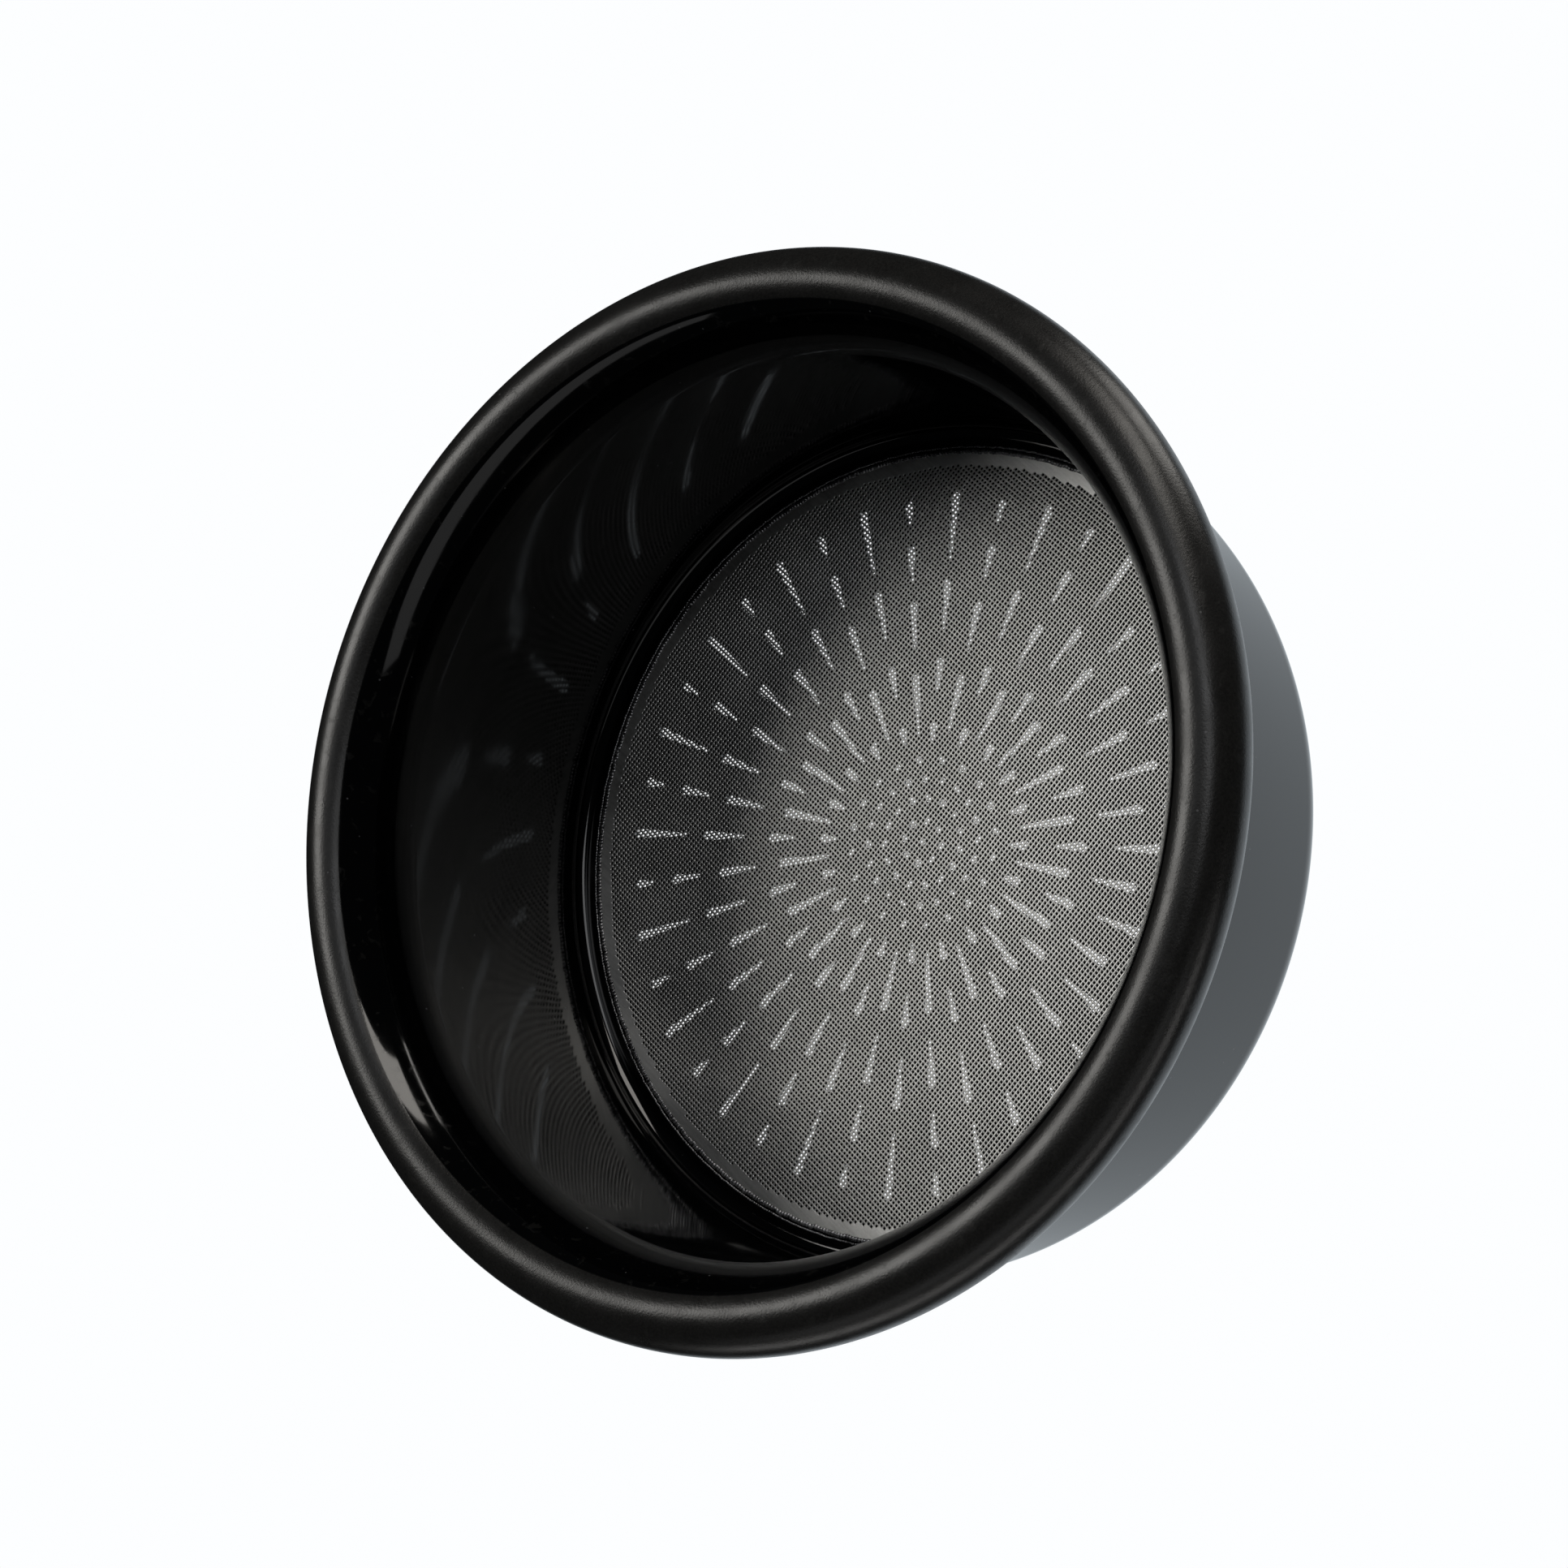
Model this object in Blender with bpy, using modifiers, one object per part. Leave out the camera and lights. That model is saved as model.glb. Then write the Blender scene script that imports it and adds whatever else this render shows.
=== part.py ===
"""Espresso filter basket: a drawn cup with a rolled rim, and a welded filter stack in its base.

The cup, the slotted support plate, the fine filter membrane and the weld bead are turned about
the Z axis. The basket stands on its base ring at z = 0 with its mouth up. Lengths are in metres.
"""
import math

import bpy

MM = 0.001

# Cup, a sheet of one thickness.
RIM_RADIUS = 35.0 * MM
WALL_INNER_RADIUS = 29.0 * MM
SHEET = 0.5 * MM
FLOOR_THICKNESS = 0.5 * MM
BASE_OPENING_RADIUS = 25.0 * MM
BASE_OUTER_FILLET = 3.6 * MM
BASE_INNER_FILLET = 1.6 * MM

# Rim: the wall flares out gently and turns over into a round roll, curled from the same sheet. The
# flare meets the roll where the roll faces FLARE_ANGLE degrees, counted from outwards through up.
# A narrow flat land on the crest of the roll seals the basket.
CURL_RADIUS = 2.35 * MM
CURL_END = -150
FLARE_ANGLE = 140
LAND_WIDTH = 0.9 * MM
MEMBRANE_TO_RIM = 24.2 * MM

# Filter stack, from the floor up, with the clearance that separate solids keep.
LAYER_GAP = 0.25 * MM
PLATE_THICKNESS = 0.35 * MM
MEMBRANE_THICKNESS = 0.15 * MM
STACK_RADIUS = 26.7 * MM
BEAD_RADIUS = 27.2 * MM
BEAD_WIDTH = 0.4 * MM
BEAD_CHAMFER = 0.08 * MM
BEAD_PROUD = 0.05 * MM
BEAD_HEIGHT = 0.25 * MM

# Slots: spokes alternate between two sets. A slot is (inner end, outer end) along its spoke.
SPOKE_PAIRS = 20
EVEN_SLOTS = ((6.9, 8.3), (10.3, 12.7), (14.7, 18.2), (19.6, 24.3))
ODD_SLOTS = ((7.5, 11.7), (13.4, 16.8), (18.3, 20.8), (22.3, 24.0))
SLOT_TIP_WIDTH = 0.22 * MM
SLOT_END_WIDTH = 0.66 * MM
SLOT_END_STEPS = 3

# Round holes inside the slots: (ring radius in mm, holes in the ring, turn in degrees).
HOLE_RINGS = ((0.0, 1, 0.0), (1.47, 8, 28.0), (3.0, 15, 10.0), (4.35, 20, 3.6), (5.7, 20, 9.0))
HOLE_RADIUS = 0.25 * MM
HOLE_SIDES = 6

TURN_STEPS = 64
MERGE_DISTANCE = 0.00001
SMOOTH_ANGLE = math.radians(40)

# Heights that follow from the dimensions above.
PLATE_BASE = FLOOR_THICKNESS + LAYER_GAP
PLATE_TOP = PLATE_BASE + PLATE_THICKNESS
MEMBRANE_BASE = PLATE_TOP + LAYER_GAP
MEMBRANE_TOP = MEMBRANE_BASE + MEMBRANE_THICKNESS
RIM_TOP = MEMBRANE_TOP + MEMBRANE_TO_RIM
BEAD_TOP = MEMBRANE_TOP + BEAD_PROUD
BEAD_FOOT = BEAD_TOP - BEAD_HEIGHT
LEDGE_TOP = BEAD_FOOT - LAYER_GAP
LEDGE_INNER_RADIUS = STACK_RADIUS + LAYER_GAP
WALL_OUTER_RADIUS = WALL_INNER_RADIUS + SHEET

COLLECTION_NAME = "filter_basket"


def clear_scene():
    """Remove every object that is in the file."""
    for item in list(bpy.data.objects):
        bpy.data.objects.remove(item, do_unlink=True)


def make_material(name, colour, roughness, metallic):
    """A Principled material with one colour."""
    material = bpy.data.materials.new(name)
    material.use_nodes = True
    shader = material.node_tree.nodes["Principled BSDF"]
    shader.inputs["Base Color"].default_value = (*colour, 1.0)
    shader.inputs["Roughness"].default_value = roughness
    shader.inputs["Metallic"].default_value = metallic
    return material


def arc(centre_r, centre_z, radius, start, end, steps):
    """Points along an arc, both ends included. Angles are in degrees from +X towards +Z."""
    points = []
    for step in range(steps + 1):
        angle = math.radians(start + (end - start) * step / steps)
        points.append((centre_r + radius * math.cos(angle), centre_z + radius * math.sin(angle)))
    return points


def turned(name, profile, closed, collection, material):
    """Turn a profile of (radius, height) points once about the Z axis."""
    vertices = [(radius, 0.0, height) for radius, height in profile]
    edges = [(index, index + 1) for index in range(len(profile) - 1)]
    if closed:
        edges.append((len(profile) - 1, 0))
    mesh = bpy.data.meshes.new(name)
    mesh.from_pydata(vertices, edges, [])
    mesh.materials.append(material)
    part = bpy.data.objects.new(name, mesh)
    collection.objects.link(part)

    screw = part.modifiers.new("turn", "SCREW")
    screw.axis = "Z"
    screw.angle = math.radians(360)
    screw.steps = TURN_STEPS
    screw.render_steps = TURN_STEPS
    screw.use_merge_vertices = True
    screw.merge_threshold = MERGE_DISTANCE

    bpy.context.view_layer.update()
    evaluated = part.evaluated_get(bpy.context.evaluated_depsgraph_get())
    part.data = bpy.data.meshes.new_from_object(evaluated)
    part.modifiers.clear()
    part.data.shade_smooth()
    part.data.set_sharp_from_angle(angle=SMOOTH_ANGLE)
    return part


def basket_body(collection, material):
    """The drawn cup: curled rim, flared mouth, straight wall, and a floor with a wide opening.

    The floor has two levels: a low shelf that the filter stack lies on, and the ledge round it
    that carries the weld.
    """
    land_end = math.degrees(math.acos(LAND_WIDTH / 2 / CURL_RADIUS))
    curl_r = RIM_RADIUS - CURL_RADIUS
    curl_z = RIM_TOP - CURL_RADIUS * math.sin(math.radians(land_end))
    lean = -math.cos(math.radians(FLARE_ANGLE))
    flare_radius = (curl_r - CURL_RADIUS * lean - WALL_INNER_RADIUS) / (1 - lean)
    flare_r = WALL_INNER_RADIUS + flare_radius
    flare_z = curl_z - (flare_radius - CURL_RADIUS) * math.sin(math.radians(FLARE_ANGLE))
    floor_edge = WALL_INNER_RADIUS - BASE_INNER_FILLET
    base_edge = WALL_OUTER_RADIUS - BASE_OUTER_FILLET

    profile = arc(curl_r, curl_z, CURL_RADIUS, land_end, 0, 3)
    profile += arc(curl_r, curl_z, CURL_RADIUS, 0, CURL_END, 6)[1:]
    profile += arc(curl_r, curl_z, CURL_RADIUS - SHEET, CURL_END, FLARE_ANGLE, 10)
    profile += arc(flare_r, flare_z, flare_radius - SHEET, FLARE_ANGLE, 180, 4)[1:]
    profile += arc(base_edge, BASE_OUTER_FILLET, BASE_OUTER_FILLET, 0, -90, 5)
    profile += [(BASE_OPENING_RADIUS, 0.0), (BASE_OPENING_RADIUS, FLOOR_THICKNESS)]
    profile += [(LEDGE_INNER_RADIUS, FLOOR_THICKNESS), (LEDGE_INNER_RADIUS, LEDGE_TOP)]
    profile += arc(floor_edge, LEDGE_TOP + BASE_INNER_FILLET, BASE_INNER_FILLET, -90, 0, 4)
    profile += arc(flare_r, flare_z, flare_radius, 180, FLARE_ANGLE, 4)
    profile += arc(curl_r, curl_z, CURL_RADIUS, FLARE_ANGLE, 180 - land_end, 2)[1:]
    return turned("basket_body", profile, True, collection, material)


def filter_membrane(collection, material):
    """The fine filter sheet. Its perforations are far smaller than this solid describes."""
    profile = [
        (0.0, MEMBRANE_TOP),
        (STACK_RADIUS, MEMBRANE_TOP),
        (STACK_RADIUS, MEMBRANE_BASE),
        (0.0, MEMBRANE_BASE),
    ]
    return turned("filter_membrane", profile, False, collection, material)


def weld_bead(collection, material):
    """The seam round the edge of the stack, with its crown just above the membrane."""
    inner = BEAD_RADIUS - BEAD_WIDTH / 2
    outer = BEAD_RADIUS + BEAD_WIDTH / 2
    profile = [
        (inner + BEAD_CHAMFER, BEAD_TOP),
        (outer - BEAD_CHAMFER, BEAD_TOP),
        (outer, BEAD_TOP - BEAD_CHAMFER),
        (outer, BEAD_FOOT),
        (inner, BEAD_FOOT),
        (inner, BEAD_TOP - BEAD_CHAMFER),
    ]
    return turned("weld_bead", profile, True, collection, material)


def add_outline(curve, points):
    """Add one closed polygon to a flat curve."""
    spline = curve.splines.new("POLY")
    spline.points.add(len(points) - 1)
    for point, (x, y) in zip(spline.points, points):
        point.co = (x, y, 0.0, 1.0)
    spline.use_cyclic_u = True


def circle(centre, radius, sides):
    """The corners of a regular polygon."""
    turns = [2 * math.pi * side / sides for side in range(sides)]
    return [(centre[0] + radius * math.cos(turn), centre[1] + radius * math.sin(turn)) for turn in turns]


def slot_outline(inner_end, outer_end, turn):
    """A teardrop along a spoke: a narrow tip towards the centre and a round outer end."""
    outline = [(inner_end, -SLOT_TIP_WIDTH / 2)]
    outline += arc(outer_end - SLOT_END_WIDTH / 2, 0.0, SLOT_END_WIDTH / 2, -90, 90, SLOT_END_STEPS)
    outline.append((inner_end, SLOT_TIP_WIDTH / 2))
    cosine = math.cos(turn)
    sine = math.sin(turn)
    return [(x * cosine - y * sine, x * sine + y * cosine) for x, y in outline]


def support_plate(collection, material):
    """The stiff plate under the membrane, with its sunburst of slots and its central holes."""
    curve = bpy.data.curves.new("support_plate", "CURVE")
    curve.dimensions = "2D"
    curve.fill_mode = "BOTH"
    curve.extrude = PLATE_THICKNESS / 2
    curve.materials.append(material)

    add_outline(curve, circle((0.0, 0.0), STACK_RADIUS, TURN_STEPS))
    spoke_step = math.pi / SPOKE_PAIRS
    for pair in range(SPOKE_PAIRS):
        for slots, offset in ((EVEN_SLOTS, 0), (ODD_SLOTS, 1)):
            turn = (2 * pair + offset) * spoke_step
            for inner_end, outer_end in slots:
                add_outline(curve, slot_outline(inner_end * MM, outer_end * MM, turn))

    for ring_radius, count, start in HOLE_RINGS:
        for index in range(count):
            turn = math.radians(start) + 2 * math.pi * index / count
            centre = (ring_radius * MM * math.cos(turn), ring_radius * MM * math.sin(turn))
            add_outline(curve, circle(centre, HOLE_RADIUS, HOLE_SIDES))

    part = bpy.data.objects.new("support_plate", curve)
    part.location.z = PLATE_BASE + PLATE_THICKNESS / 2
    collection.objects.link(part)
    return part


def build():
    clear_scene()
    collection = bpy.data.collections.new(COLLECTION_NAME)
    bpy.context.scene.collection.children.link(collection)

    black_coating = make_material("black_coating", (0.012, 0.013, 0.015), 0.22, 0.6)
    dark_steel = make_material("dark_steel", (0.16, 0.16, 0.155), 0.38, 0.9)
    slotted_steel = make_material("slotted_steel", (0.10, 0.10, 0.10), 0.45, 0.9)
    weld_metal = make_material("weld_metal", (0.09, 0.09, 0.095), 0.5, 0.9)

    basket_body(collection, black_coating)
    support_plate(collection, slotted_steel)
    filter_membrane(collection, dark_steel)
    weld_bead(collection, weld_metal)


build()
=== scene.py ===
"""Looks of the espresso filter basket: the coated cup, the perforated filter, its support and its weld.

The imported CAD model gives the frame. Lengths in the constants are millimetres and angles are degrees,
unless a name says otherwise. Everything in the scene is in metres, +Z up, standing on z = 0.
"""
import math

import bpy
import numpy as np
from mathutils import Euler, Matrix, Vector


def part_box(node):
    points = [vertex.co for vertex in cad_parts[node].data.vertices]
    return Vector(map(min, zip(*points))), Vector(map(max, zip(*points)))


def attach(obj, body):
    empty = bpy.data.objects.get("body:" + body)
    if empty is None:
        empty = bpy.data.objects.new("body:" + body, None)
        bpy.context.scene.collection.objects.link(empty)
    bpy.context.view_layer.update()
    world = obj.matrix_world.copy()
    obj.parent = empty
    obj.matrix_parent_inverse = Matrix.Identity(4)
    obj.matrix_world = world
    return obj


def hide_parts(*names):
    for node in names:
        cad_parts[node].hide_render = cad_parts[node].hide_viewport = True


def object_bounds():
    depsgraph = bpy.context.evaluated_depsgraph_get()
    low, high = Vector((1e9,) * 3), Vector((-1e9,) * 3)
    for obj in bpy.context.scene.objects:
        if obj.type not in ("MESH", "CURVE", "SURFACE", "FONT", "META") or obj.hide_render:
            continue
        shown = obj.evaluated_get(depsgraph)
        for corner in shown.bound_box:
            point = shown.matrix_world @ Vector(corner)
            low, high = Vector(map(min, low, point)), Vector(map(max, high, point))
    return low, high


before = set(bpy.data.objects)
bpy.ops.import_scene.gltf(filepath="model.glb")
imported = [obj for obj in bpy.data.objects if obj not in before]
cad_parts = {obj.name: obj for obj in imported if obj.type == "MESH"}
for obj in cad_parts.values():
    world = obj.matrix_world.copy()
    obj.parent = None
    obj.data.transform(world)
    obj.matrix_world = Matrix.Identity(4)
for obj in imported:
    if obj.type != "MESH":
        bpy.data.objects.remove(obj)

MM = 0.001
BODY = "root"

CAD_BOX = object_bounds()
RIM_TOP = CAD_BOX[1].z / MM
RIM_RADIUS = CAD_BOX[1].x / MM
FILTER_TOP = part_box("filter_membrane")[1].z / MM

# Camera: a short telephoto that looks down into the cup, rolled so that the mouth opens to the left.
CAMERA_LENS = 78.04
SENSOR_WIDTH = 36.0
CAMERA_PLACE = (51.11, -112.72, 196.24)
CAMERA_TURN = (10.837, 33.414, -47.0)
LIGHT_DISTANCE = 1.0

# Cup. The wall flares gently and turns over into a round roll, which is curled under at its edge.
SHEET = 0.5
WALL_INNER = 29.0
WALL_OUTER = WALL_INNER + SHEET
CURL_RADIUS = 2.35
CURL_END = -150
FLARE_ANGLE = 140
CREST = RIM_TOP + 0.04
FLOOR_TOP = 0.5
OPENING_RADIUS = 25.0
OUTER_FILLET = 3.6
INNER_FILLET = 1.05
CUP_SEGMENTS = 320

# Floor of the cup beside the filter: a narrow ledge that the weld sits on.
LEDGE_TOP = FILTER_TOP - 0.01
LEDGE_INNER = 27.05

# Filter sheet: round holes on a square grid, inside a circle.
SHEET_THICKNESS = 0.06
HOLE_PITCH = 0.289
HOLE_RADIUS = 0.088
GRID_TURN = 0.97
FIELD_RADIUS = 26.15
FIELD_BANDS = 6
SHEET_RADIUS = 27.0
RING_POINTS = 720
HOLE_SIDES = 8
HOLE_CORNERS = ((1, 1), (-1, 1), (-1, -1), (1, -1))

# Support plate under it, with slots on forty spokes and small holes inside them.
PLATE_SKIN = 0.08
PLATE_BACK = 0.3
PLATE_GAP = 0.03
PLATE_RADIUS = 26.9
SPOKE_PAIRS = 20
EVEN_SLOTS = ((6.9, 8.3), (10.3, 12.7), (14.7, 18.2), (19.6, 24.3))
ODD_SLOTS = ((7.5, 11.7), (13.4, 16.8), (18.3, 20.8), (22.3, 24.0))
SLOT_TIP_WIDTH = 0.22
SLOT_END_WIDTH = 0.66
SLOT_RELIEF = 0.16
DOT_RINGS = ((0.0, 1, 0.0), (1.47, 8, 28.0), (3.0, 15, 10.0), (4.35, 20, 3.6), (5.7, 20, 9.0))
DOT_RADIUS = 0.25
DOT_SIDES = 16

# Weld: a rippled seam with a finer line beside it.
SEAM_RADIUS = 27.12
SEAM_WIDTH = 0.36
SEAM_HEIGHT = 0.11
SEAM_GRAIN = 0.24
LINE_RADIUS = 27.46
LINE_WIDTH = 0.16
LINE_HEIGHT = 0.06
LINE_GRAIN = 0.2
POINTS_PER_GRAIN = 6
SEAM_PROFILE_POINTS = 7
SEAM_SINK = 0.03
SEAM_SEED = 5
LINE_SEED = 9

# Coating: the satin begins at this radius on the crest of the roll. Colours are linear.
SATIN_START = 31.2
SATIN_FULL = 31.3
SCUFFS_START = 29.4
SCUFFS_FULL = 30.2
BLACK = (0.0008, 0.0009, 0.0011, 1.0)
CLOUDED_BLACK = (0.0016, 0.0017, 0.0020, 1.0)
SATIN_DARK = (0.003, 0.003, 0.003, 1.0)
SATIN_LIGHT = (0.024, 0.0235, 0.0225, 1.0)
WORN = (0.016, 0.016, 0.015, 1.0)
HAIRLINE = (0.03, 0.03, 0.034, 1.0)
DUST = (0.09, 0.09, 0.095, 1.0)

# Studio: a pale floor and background, and a world that lights from below as a white table does.
FLOOR_REACH = 3.0
FLOOR_DROP = 0.0001
FLOOR_COLOUR = (0.98, 0.99, 1.0, 1.0)
WORLD_COLOUR = (0.86, 0.94, 1.0, 1.0)
WORLD_BELOW = 0.85
WORLD_ABOVE = 0.01
BACKGROUND_LIFT = 1.2


# ---------------------------------------------------------------------------------------------------
# Shapes
# ---------------------------------------------------------------------------------------------------


def arc(centre_r, centre_z, radius, start, end, steps):
    """Points along an arc, both ends included, as (radius, height)."""
    points = []
    for step in range(steps + 1):
        angle = math.radians(start + (end - start) * step / steps)
        points.append((centre_r + radius * math.cos(angle), centre_z + radius * math.sin(angle)))
    return points


def mesh_object(name, vertices, faces, material, sharp=30.0):
    """A smooth mesh object, with edges sharper than an angle kept. Vertices are in millimetres."""
    mesh = bpy.data.meshes.new(name)
    mesh.from_pydata([tuple(c * MM for c in v) for v in vertices], [], faces)
    mesh.materials.append(material)
    mesh.shade_smooth()
    mesh.set_sharp_from_angle(angle=math.radians(sharp))
    piece = bpy.data.objects.new(name, mesh)
    bpy.context.scene.collection.objects.link(piece)
    return piece


def turned_faces(rows, segments):
    """Quads between the rings of a closed profile. Point s of a ring is vertex ring * segments + s."""
    faces = []
    for row in range(rows):
        upper = row * segments
        lower = (row + 1) % rows * segments
        for s in range(segments):
            t = (s + 1) % segments
            faces.append((upper + s, lower + s, lower + t, upper + t))
    return faces


def turned(name, profile, segments, material):
    """Turn a closed profile of (radius, height) about Z."""
    vertices = []
    for radius, height in profile:
        for s in range(segments):
            angle = 2 * math.pi * s / segments
            vertices.append((radius * math.cos(angle), radius * math.sin(angle), height))
    return mesh_object(name, vertices, turned_faces(len(profile), segments), material)


def cup_profile():
    """Closed section of the cup: rolled rim, flare, wall, rounded base, floor and ledge."""
    curl_r = RIM_RADIUS - CURL_RADIUS
    curl_z = CREST - CURL_RADIUS
    lean = -math.cos(math.radians(FLARE_ANGLE))
    flare_radius = (curl_r - CURL_RADIUS * lean - WALL_INNER) / (1 - lean)
    flare_r = WALL_INNER + flare_radius
    flare_z = curl_z - (flare_radius - CURL_RADIUS) * math.sin(math.radians(FLARE_ANGLE))
    corner_r = WALL_INNER - INNER_FILLET
    profile = arc(curl_r, curl_z, CURL_RADIUS, FLARE_ANGLE, CURL_END, 80)
    profile += arc(curl_r, curl_z, CURL_RADIUS - SHEET, CURL_END, FLARE_ANGLE, 40)
    profile += arc(flare_r, flare_z, flare_radius - SHEET, FLARE_ANGLE, 180, 16)[1:]
    profile += arc(WALL_OUTER - OUTER_FILLET, OUTER_FILLET, OUTER_FILLET, 0, -90, 24)
    profile += [(OPENING_RADIUS, 0.0), (OPENING_RADIUS, FLOOR_TOP), (LEDGE_INNER, FLOOR_TOP)]
    profile += [(LEDGE_INNER, LEDGE_TOP)]
    profile += arc(corner_r, LEDGE_TOP + INNER_FILLET, INNER_FILLET, -90, 0, 24)
    profile += arc(flare_r, flare_z, flare_radius, 180, FLARE_ANGLE, 24)[:-1]
    return profile


def cup(material):
    """The coated cup in one piece."""
    piece = turned("basket_body_fine", cup_profile(), CUP_SEGMENTS, material)
    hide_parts("basket_body")
    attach(piece, BODY)


def grid_cells():
    """Grid positions of the holes, as whole numbers of pitches from the centre."""
    reach = int(FIELD_RADIUS / HOLE_PITCH)
    i, j = np.meshgrid(np.arange(-reach, reach + 1), np.arange(-reach, reach + 1), indexing="ij")
    inside = np.hypot(i, j) * HOLE_PITCH <= FIELD_RADIUS
    return np.stack([i[inside], j[inside]], 1)


def sheet_sector(name, cells, material):
    """One closed stretch of the filter sheet: every cell is a square with an eight-sided hole."""
    turns = np.radians((np.arange(HOLE_SIDES) + 0.5) * 360 / HOLE_SIDES)
    hole = HOLE_RADIUS * np.stack([np.cos(turns), np.sin(turns)], 1)

    # Squares share their corners. A corner is known by its place in whole half pitches.
    keys = (cells[:, None, :] * 2 + np.array(HOLE_CORNERS)).reshape(-1, 2)
    corners, corner_of = np.unique(keys, axis=0, return_inverse=True)
    corner_of = corner_of.reshape(-1, len(HOLE_CORNERS))
    flat_corners = corners * HOLE_PITCH / 2
    flat_holes = (cells[:, None, :] * HOLE_PITCH + hole).reshape(-1, 2)
    layer = len(flat_corners) + len(flat_holes)
    flat = np.concatenate([flat_corners, flat_holes])
    turn = math.radians(GRID_TURN)
    flat = flat @ np.array([[math.cos(turn), math.sin(turn)], [-math.sin(turn), math.cos(turn)]])
    top = np.column_stack([flat, np.full(layer, FILTER_TOP)])
    bottom = np.column_stack([flat, np.full(layer, FILTER_TOP - SHEET_THICKNESS)])

    # Faces of the top: a quad and a triangle for each side of the square. Then the walls of the hole.
    ring = len(flat_corners) + np.arange(len(cells))[:, None] * HOLE_SIDES + np.arange(HOLE_SIDES)
    quads = []
    triangles = []
    for side in range(len(HOLE_CORNERS)):
        corner = corner_of[:, side]
        next_corner = corner_of[:, (side + 1) % len(HOLE_CORNERS)]
        near = (2 * side + 1) % HOLE_SIDES
        far = (2 * side + 2) % HOLE_SIDES
        quads.append(np.column_stack([corner, next_corner, ring[:, far], ring[:, near]]))
        triangles.append(np.column_stack([corner, ring[:, near], ring[:, near - 1]]))
    quads = np.concatenate(quads)
    triangles = np.concatenate(triangles)
    walls = []
    for point in range(HOLE_SIDES):
        here = ring[:, point]
        following = ring[:, (point + 1) % HOLE_SIDES]
        walls.append(np.column_stack([here, following, following + layer, here + layer]))
    walls = np.concatenate(walls)

    fours = np.concatenate([quads, quads[:, ::-1] + layer, walls])
    threes = np.concatenate([triangles, triangles[:, ::-1] + layer])
    mesh = bpy.data.meshes.new(name)
    vertices = np.concatenate([top, bottom]) * MM
    mesh.vertices.add(len(vertices))
    mesh.vertices.foreach_set("co", vertices.astype(np.float32).ravel())
    corners_of_faces = np.concatenate([fours.ravel(), threes.ravel()])
    mesh.loops.add(len(corners_of_faces))
    mesh.loops.foreach_set("vertex_index", corners_of_faces.astype(np.int32))
    sizes = np.concatenate([np.full(len(fours), 4), np.full(len(threes), 3)])
    mesh.polygons.add(len(sizes))
    starts = np.concatenate([[0], np.cumsum(sizes)[:-1]])
    mesh.polygons.foreach_set("loop_start", starts.astype(np.int32))
    mesh.update(calc_edges=True)
    mesh.validate()
    mesh.materials.append(material)

    # A layout to bake colour on: the sheet seen from above.
    layout = mesh.uv_layers.new(name="OFBake")
    spread = vertices[mesh_loop_vertices(mesh)][:, :2] / (2 * SHEET_RADIUS * MM) + 0.5
    layout.data.foreach_set("uv", spread.astype(np.float32).ravel())
    piece = bpy.data.objects.new(name, mesh)
    bpy.context.scene.collection.objects.link(piece)
    return piece


def mesh_loop_vertices(mesh):
    """The vertex at every face corner of a mesh."""
    indices = np.zeros(len(mesh.loops), np.int32)
    mesh.loops.foreach_get("vertex_index", indices)
    return indices


def stepped_outline():
    """The corners of the hole field's stepped edge, in order round the centre, in whole half pitches."""
    reach = int(FIELD_RADIUS / HOLE_PITCH)
    columns = []
    for i in range(-reach, reach + 1):
        columns.append(int(math.sqrt(max(0.0, (FIELD_RADIUS / HOLE_PITCH) ** 2 - i * i))))
    upper = []
    for i, height in zip(range(-reach, reach + 1), columns):
        upper += [(2 * i - 1, 2 * height + 1), (2 * i + 1, 2 * height + 1)]
    lower = [(-x, -y) for x, y in upper]
    outline = []
    for corner in upper + lower:
        if not outline or corner != outline[-1]:
            outline.append(corner)
    return outline


def flat_sheet(name, outlines, top, thickness, material):
    """A flat sheet with holes, cut by outlines: the first is its edge and the rest are holes."""
    curve = bpy.data.curves.new(name, "CURVE")
    curve.dimensions = "2D"
    curve.fill_mode = "BOTH"
    curve.extrude = thickness * MM / 2
    curve.materials.append(material)
    for outline in outlines:
        spline = curve.splines.new("POLY")
        spline.points.add(len(outline) - 1)
        for point, (x, y) in zip(spline.points, outline):
            point.co = (x * MM, y * MM, 0.0, 1.0)
        spline.use_cyclic_u = True
    flat = bpy.data.objects.new(name + "_outline", curve)
    bpy.context.scene.collection.objects.link(flat)
    bpy.context.view_layer.update()
    mesh = bpy.data.meshes.new_from_object(flat.evaluated_get(bpy.context.evaluated_depsgraph_get()))
    bpy.data.objects.remove(flat)
    mesh.name = name
    mesh.transform(Matrix.Translation((0.0, 0.0, (top - thickness / 2) * MM)))
    mesh.shade_flat()
    piece = bpy.data.objects.new(name, mesh)
    bpy.context.scene.collection.objects.link(piece)
    return piece


def circle(centre, radius, sides):
    """The corners of a regular polygon."""
    turns = [2 * math.pi * side / sides for side in range(sides)]
    x, y = centre
    return [(x + radius * math.cos(turn), y + radius * math.sin(turn)) for turn in turns]


def rotated(points, turn):
    """Flat points turned about the origin by an angle in radians."""
    cosine = math.cos(turn)
    sine = math.sin(turn)
    return [(x * cosine - y * sine, x * sine + y * cosine) for x, y in points]


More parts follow.
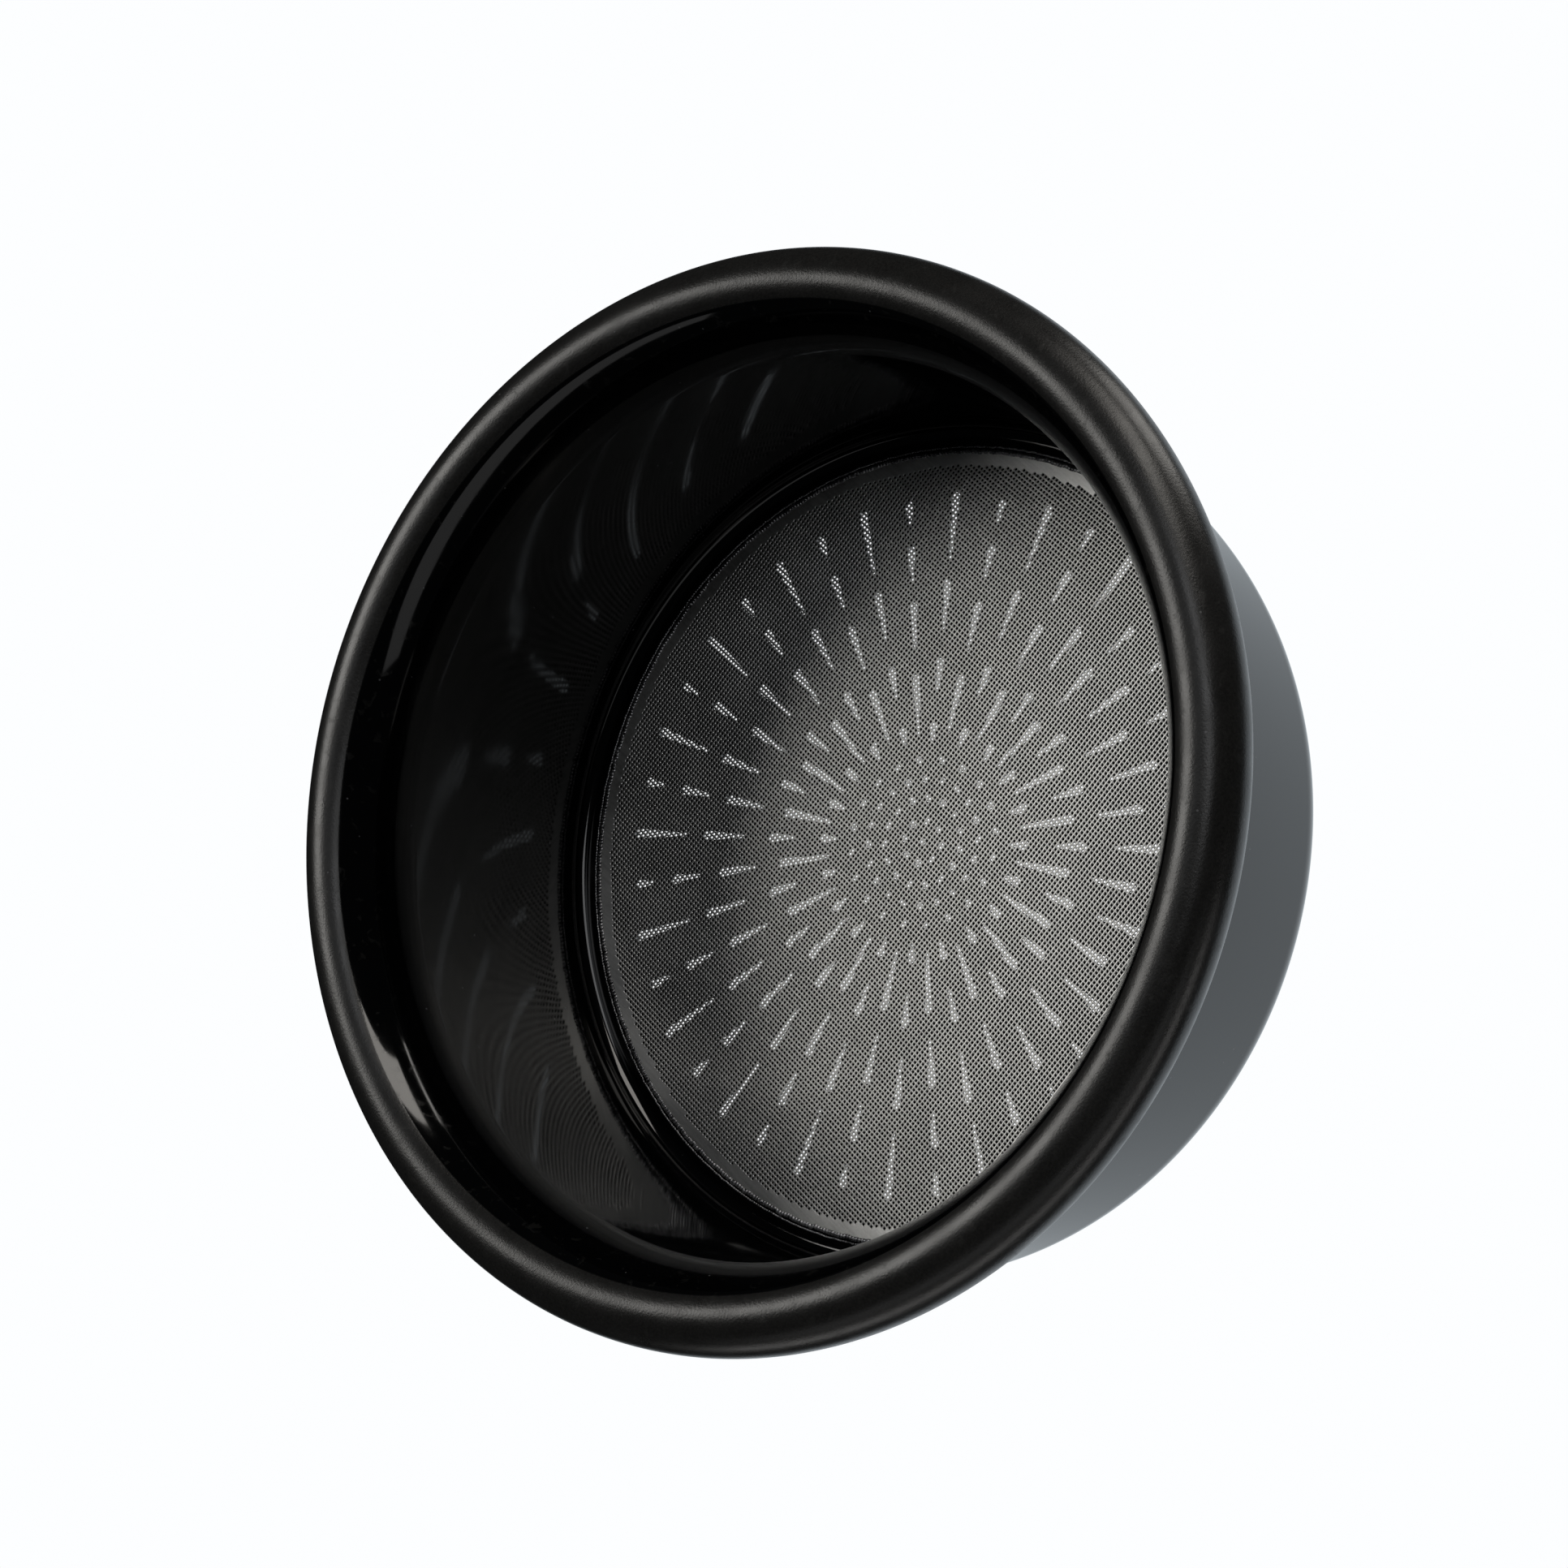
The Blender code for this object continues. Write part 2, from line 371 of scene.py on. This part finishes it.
def filter_sheet(material):
    """The perforated sheet in narrow stretches, and its plain border."""
    cells = grid_cells()
    bands = np.array_split(np.argsort(cells[:, 0], kind="stable"), FIELD_BANDS)
    for index, band in enumerate(bands):
        piece = sheet_sector(f"filter_field_{index + 1}", cells[band], material)
        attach(piece, BODY)

    stepped = [(i * HOLE_PITCH / 2, j * HOLE_PITCH / 2) for i, j in stepped_outline()]
    stepped = rotated(stepped, math.radians(GRID_TURN))
    outlines = [circle((0.0, 0.0), SHEET_RADIUS, RING_POINTS), stepped]
    border = flat_sheet("filter_border", outlines, FILTER_TOP, SHEET_THICKNESS, material)
    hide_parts("filter_membrane")
    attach(border, BODY)


def slot_outline(inner_end, outer_end, turn, grow):
    """A teardrop along a spoke, with every edge moved outwards by grow."""
    tip = SLOT_TIP_WIDTH / 2 + grow
    end = SLOT_END_WIDTH / 2 + grow
    centre = outer_end - SLOT_END_WIDTH / 2
    outline = arc(inner_end + SLOT_TIP_WIDTH / 2, 0.0, tip, 90, 270, 4)
    outline += arc(centre, 0.0, end, -90, 90, 10)
    return rotated(outline, turn)


def plate_openings(grow):
    """Every slot and round hole of the support plate."""
    outlines = []
    for pair in range(SPOKE_PAIRS):
        for slots, offset in ((EVEN_SLOTS, 0), (ODD_SLOTS, 1)):
            turn = (2 * pair + offset) * math.pi / SPOKE_PAIRS
            for inner_end, outer_end in slots:
                outlines.append(slot_outline(inner_end, outer_end, turn, grow))
    for ring_radius, count, start in DOT_RINGS:
        for index in range(count):
            turn = math.radians(start) + 2 * math.pi * index / count
            centre = (ring_radius * math.cos(turn), ring_radius * math.sin(turn))
            outlines.append(circle(centre, DOT_RADIUS + grow, DOT_SIDES))
    return outlines


def support_plate(material):
    """The slotted plate. Its openings widen downwards, as cuts made from below do."""
    top = FILTER_TOP - SHEET_THICKNESS - PLATE_GAP
    edge = circle((0.0, 0.0), PLATE_RADIUS, RING_POINTS // 2)
    narrow = [edge] + plate_openings(0.0)
    wide = [edge] + plate_openings(SLOT_RELIEF)
    upper = flat_sheet("support_plate_fine", narrow, top, PLATE_SKIN, material)
    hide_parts("support_plate")
    lower = flat_sheet("support_plate_back", wide, top - PLATE_SKIN, PLATE_BACK, material)
    for piece in (upper, lower):
        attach(piece, BODY)


def seam(name, radius, width, height, grain, seed, material):
    """A weld line: a low half-round ridge of overlapping grains, uneven in height and place."""
    random = np.random.default_rng(seed)
    grains = int(2 * math.pi * radius / grain)
    steps = grains * POINTS_PER_GRAIN
    along = np.arange(steps) / POINTS_PER_GRAIN
    pulse = np.abs(np.cos(math.pi * (along % 1.0 - 0.5)))
    level = random.uniform(0.55, 1.0, grains)[along.astype(int) % grains]
    drift = random.normal(0.0, width * 0.1, grains)
    drift = np.interp(along, np.arange(grains), drift, period=grains)
    lift = height * level * (0.35 + 0.65 * pulse)
    spread = width / 2 * (0.8 + 0.2 * pulse)
    turns = 2 * math.pi * np.arange(steps) / steps
    vertices = []
    for angle in np.radians(np.linspace(0, 180, SEAM_PROFILE_POINTS)):
        r = radius + drift + spread * np.cos(angle)
        z = FILTER_TOP - SEAM_SINK + (lift + SEAM_SINK) * np.sin(angle)
        vertices.append(np.column_stack([r * np.cos(turns), r * np.sin(turns), z]))
    vertices = np.concatenate(vertices).tolist()
    return mesh_object(name, vertices, turned_faces(SEAM_PROFILE_POINTS, steps), material, sharp=70.0)


def weld(material):
    """The seam over the edge of the filter sheet, and the finer line beside it."""
    bead = seam("weld_bead_fine", SEAM_RADIUS, SEAM_WIDTH, SEAM_HEIGHT, SEAM_GRAIN, SEAM_SEED, material)
    line = seam("weld_line", LINE_RADIUS, LINE_WIDTH, LINE_HEIGHT, LINE_GRAIN, LINE_SEED, material)
    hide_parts("weld_bead")
    for piece in (bead, line):
        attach(piece, BODY)


# ---------------------------------------------------------------------------------------------------
# Materials
# ---------------------------------------------------------------------------------------------------


def add(tree, kind, inputs=None, **settings):
    """A shader node, with its settings and its inputs. An input is a value or a socket to link from."""
    made = tree.nodes.new(kind)
    for key, value in settings.items():
        setattr(made, key, value)
    for key, value in (inputs or {}).items():
        if isinstance(value, bpy.types.NodeSocket):
            tree.links.new(value, made.inputs[key])
        else:
            made.inputs[key].default_value = value
    return made


def calc(tree, operation, first, second=0.0):
    """One step of arithmetic."""
    return add(tree, "ShaderNodeMath", {0: first, 1: second}, operation=operation).outputs[0]


def ramp(tree, value, start, end, low=0.0, high=1.0):
    """A smooth step of value from low at start to high at end."""
    made = add(
        tree,
        "ShaderNodeMapRange",
        {"Value": value, "From Min": start, "From Max": end, "To Min": low, "To Max": high},
        interpolation_type="SMOOTHSTEP",
    )
    return made.outputs[0]


def stretch(tree, place, factors):
    """Coordinates multiplied axis by axis."""
    return add(tree, "ShaderNodeVectorMath", {0: place, 1: factors}, operation="MULTIPLY").outputs[0]


def noise(tree, place, scale, detail=2.0, distortion=0.0):
    """Cloudy noise from 0 to 1, with scale features per millimetre."""
    inputs = {"Vector": place, "Scale": scale, "Detail": detail, "Distortion": distortion}
    return add(tree, "ShaderNodeTexNoise", inputs).outputs["Fac"]


def mix(tree, factor, first, second):
    """A colour between two colours."""
    made = add(tree, "ShaderNodeMix", {0: factor, 6: first, 7: second}, data_type="RGBA")
    return made.outputs[2]


def bump(tree, height, depth):
    """Relief, depth millimetres high where height is 1."""
    return add(tree, "ShaderNodeBump", {"Height": height, "Distance": depth * MM}).outputs[0]


def new_material(name):
    """A Principled material, with its node tree, its shader and the place in millimetres."""
    material = bpy.data.materials.new(name)
    material.use_nodes = True
    tree = material.node_tree
    coordinates = add(tree, "ShaderNodeTexCoord").outputs["Object"]
    place = stretch(tree, coordinates, (1 / MM, 1 / MM, 1 / MM))
    return material, tree, tree.nodes["Principled BSDF"], place


def radius_of(tree, place):
    """Distance of a place from the Z axis, in millimetres."""
    flat = stretch(tree, place, (1.0, 1.0, 0.0))
    return add(tree, "ShaderNodeVectorMath", {0: flat}, operation="LENGTH").outputs["Value"]


def black_coating():
    """Glossy black coating: satin and sandy outside the crest of the roll, faintly marked elsewhere."""
    material, tree, shader, place = new_material("black_coating")
    radius = radius_of(tree, place)
    on_rim = ramp(tree, radius, SATIN_START, SATIN_FULL)
    off_rim = calc(tree, "SUBTRACT", 1.0, on_rim)

    sand = noise(tree, place, 6.5, 3.0)
    clouds = noise(tree, place, 0.35, 3.0)
    drawing_marks = noise(tree, stretch(tree, place, (0.12, 0.12, 5.0)), 1.0, 3.0)
    hairs = ramp(tree, noise(tree, stretch(tree, place, (0.5, 0.5, 14.0)), 1.1, 2.0, 0.2), 0.72, 0.78)
    scuffs = ramp(tree, noise(tree, place, 1.4, 6.0, 0.6), 0.60, 0.68)
    near_edge = calc(tree, "MULTIPLY", scuffs, ramp(tree, radius, SCUFFS_START, SCUFFS_FULL))
    specks = add(tree, "ShaderNodeTexVoronoi", {"Vector": place, "Scale": 0.55}).outputs["Distance"]
    dust = ramp(tree, specks, 0.045, 0.03)

    worn = calc(tree, "MULTIPLY", near_edge, 0.5)
    marked = calc(tree, "MULTIPLY", hairs, off_rim)
    colour = mix(tree, clouds, BLACK, CLOUDED_BLACK)
    colour = mix(tree, on_rim, colour, mix(tree, sand, SATIN_DARK, SATIN_LIGHT))
    colour = mix(tree, worn, colour, WORN)
    colour = mix(tree, calc(tree, "MULTIPLY", marked, 0.012), colour, HAIRLINE)
    colour = mix(tree, dust, colour, DUST)
    tree.links.new(colour, shader.inputs["Base Color"])

    gloss = ramp(tree, clouds, 0.3, 0.7, 0.06, 0.09)
    satin = ramp(tree, clouds, 0.3, 0.7, 0.27, 0.33)
    inside = calc(tree, "MULTIPLY", gloss, off_rim)
    outside = calc(tree, "MULTIPLY", satin, on_rim)
    roughness = calc(tree, "ADD", inside, outside)
    roughness = calc(tree, "ADD", roughness, calc(tree, "MULTIPLY", worn, 0.12))
    roughness = calc(tree, "ADD", roughness, calc(tree, "MULTIPLY", marked, 0.006))
    tree.links.new(roughness, shader.inputs["Roughness"])

    grain = calc(tree, "MULTIPLY", sand, ramp(tree, radius, SATIN_START, SATIN_FULL, 0.012, 1.0))
    lines = calc(tree, "MULTIPLY", calc(tree, "MULTIPLY", drawing_marks, off_rim), 0.065)
    relief = calc(tree, "ADD", grain, lines)
    tree.links.new(bump(tree, relief, 0.011), shader.inputs["Normal"])
    return material


def steel(name, dark, light, roughness, streak, depth):
    """Rolled steel: fine streaks one way, cloudy tone, and a little relief."""
    material, tree, shader, place = new_material(name)
    shader.inputs["Metallic"].default_value = 0.95
    clouds = noise(tree, place, 0.25, 4.0)
    streaks = noise(tree, stretch(tree, place, streak), 1.0, 3.0)
    grains = noise(tree, place, 9.0, 2.0)
    tone = calc(tree, "ADD", calc(tree, "MULTIPLY", clouds, 0.45), calc(tree, "MULTIPLY", streaks, 0.35))
    tone = calc(tree, "ADD", tone, calc(tree, "MULTIPLY", grains, 0.2))
    tree.links.new(mix(tree, ramp(tree, tone, 0.35, 0.65), dark, light), shader.inputs["Base Color"])
    rough = ramp(tree, tone, 0.3, 0.7, roughness - 0.05, roughness + 0.05)
    tree.links.new(rough, shader.inputs["Roughness"])
    relief = calc(tree, "ADD", calc(tree, "MULTIPLY", streaks, 0.6), calc(tree, "MULTIPLY", grains, 0.4))
    tree.links.new(bump(tree, relief, depth), shader.inputs["Normal"])
    return material


def glowing_floor():
    """A material that glows evenly and reflects nothing."""
    material = bpy.data.materials.new("floor")
    material.use_nodes = True
    shader = material.node_tree.nodes["Principled BSDF"]
    shader.inputs["Base Color"].default_value = (0.0, 0.0, 0.0, 1.0)
    shader.inputs["Specular IOR Level"].default_value = 0.0
    shader.inputs["Emission Color"].default_value = FLOOR_COLOUR
    shader.inputs["Emission Strength"].default_value = 1.0
    return material


# ---------------------------------------------------------------------------------------------------
# Camera, floor and light
# ---------------------------------------------------------------------------------------------------


def camera():
    """The camera at the photo's angle, without depth of field."""
    data = bpy.data.cameras.new("camera")
    data.lens = CAMERA_LENS
    data.sensor_width = SENSOR_WIDTH
    data.clip_start = 0.01
    data.clip_end = 20
    eye = bpy.data.objects.new("camera", data)
    eye.location = Vector(CAMERA_PLACE) * MM
    eye.rotation_euler = Euler([math.radians(a) for a in CAMERA_TURN], "XYZ")
    bpy.context.scene.collection.objects.link(eye)
    bpy.context.scene.camera = eye


def floor():
    """A white floor, seen by the camera. The light from below comes from the world."""
    reach = FLOOR_REACH
    mesh = bpy.data.meshes.new("floor")
    corners = [(-reach, -reach, 0.0), (reach, -reach, 0.0), (reach, reach, 0.0), (-reach, reach, 0.0)]
    mesh.from_pydata(corners, [], [(0, 1, 2, 3)])
    mesh.materials.append(glowing_floor())
    ground = bpy.data.objects.new("floor", mesh)
    ground.location.z = -FLOOR_DROP
    ground.visible_glossy = False
    ground.visible_diffuse = False
    ground.visible_shadow = False
    bpy.context.scene.collection.objects.link(ground)


def direction(azimuth, elevation):
    """A unit vector towards a direction given in degrees."""
    azimuth = math.radians(azimuth)
    elevation = math.radians(elevation)
    flat = math.cos(elevation)
    return Vector((flat * math.cos(azimuth), flat * math.sin(azimuth), math.sin(elevation)))


def softbox(name, azimuth, elevation, width, height, radiance, colour=(1.0, 1.0, 1.0)):
    """A rectangular light 1 m away that faces the basket. Its sides are given in degrees of view."""
    data = bpy.data.lights.new(name, "AREA")
    data.shape = "RECTANGLE"
    data.size = 2 * LIGHT_DISTANCE * math.tan(math.radians(width) / 2)
    data.size_y = 2 * LIGHT_DISTANCE * math.tan(math.radians(height) / 2)
    data.energy = radiance * math.pi * data.size * data.size_y
    data.color = colour
    lamp = bpy.data.objects.new(name, data)
    lamp.location = direction(azimuth, elevation) * LIGHT_DISTANCE
    lamp.rotation_euler = (-lamp.location).to_track_quat("-Z", "Y").to_euler()
    lamp.visible_camera = False
    bpy.context.scene.collection.objects.link(lamp)


def studio():
    """World light: pale from below, dim from above, and white where the camera sees it directly."""
    world = bpy.data.worlds.new("studio")
    bpy.context.scene.world = world
    world.use_nodes = True
    tree = world.node_tree
    up = add(tree, "ShaderNodeTexCoord").outputs["Generated"]
    height = add(tree, "ShaderNodeSeparateXYZ", {0: up}).outputs["Z"]
    level = ramp(tree, height, -0.8, -0.6, WORLD_BELOW, WORLD_ABOVE)
    seen = add(tree, "ShaderNodeLightPath").outputs["Is Camera Ray"]
    strength = calc(tree, "ADD", level, calc(tree, "MULTIPLY", seen, BACKGROUND_LIFT))
    background = tree.nodes["Background"]
    tree.links.new(strength, background.inputs["Strength"])
    background.inputs["Color"].default_value = WORLD_COLOUR


bpy.context.scene.view_settings.view_transform = "Standard"
camera()
floor()
cup(black_coating())
filter_sheet(
    steel("filter_steel", (0.50, 0.50, 0.49, 1.0), (0.66, 0.66, 0.645, 1.0), 0.38, (6.0, 0.4, 1.0), 0.003)
)
# The support plate's near-black colour is painted shade: it stands for the shade under the filter sheet.
support_plate(
    steel("slotted_steel", (0.008, 0.008, 0.008, 1.0), (0.02, 0.02, 0.02, 1.0), 0.5, (0.5, 5.0, 1.0), 0.004)
)
weld(steel("weld_metal", (0.10, 0.10, 0.105, 1.0), (0.42, 0.42, 0.43, 1.0), 0.28, (5.0, 5.0, 5.0), 0.012))

studio()
# Name, azimuth, elevation, width, height, radiance and colour of each light.
softbox("side_box", 16, 33, 14, 34, 4.5, (1.0, 0.96, 0.90))
softbox("low_side_box", 14, -11, 18, 32, 4.0, (1.0, 0.97, 0.92))
softbox("high_side_box", -5, 67, 30, 12, 2.2, (0.97, 0.98, 1.0))
softbox("back_box", 112, 44, 20, 26, 5.0, (1.0, 0.98, 0.94))
softbox("top_box", 70, 76, 40, 14, 0.4, (0.93, 0.96, 1.0))
softbox("left_horizon_glow", -145, -4, 53, 14, 1.5, (1.0, 0.98, 0.96))
softbox("front_horizon_glow", -92, -4, 53, 14, 1.3, (1.0, 0.98, 0.96))
softbox("front_fill", -120, 28, 90, 16, 0.4)
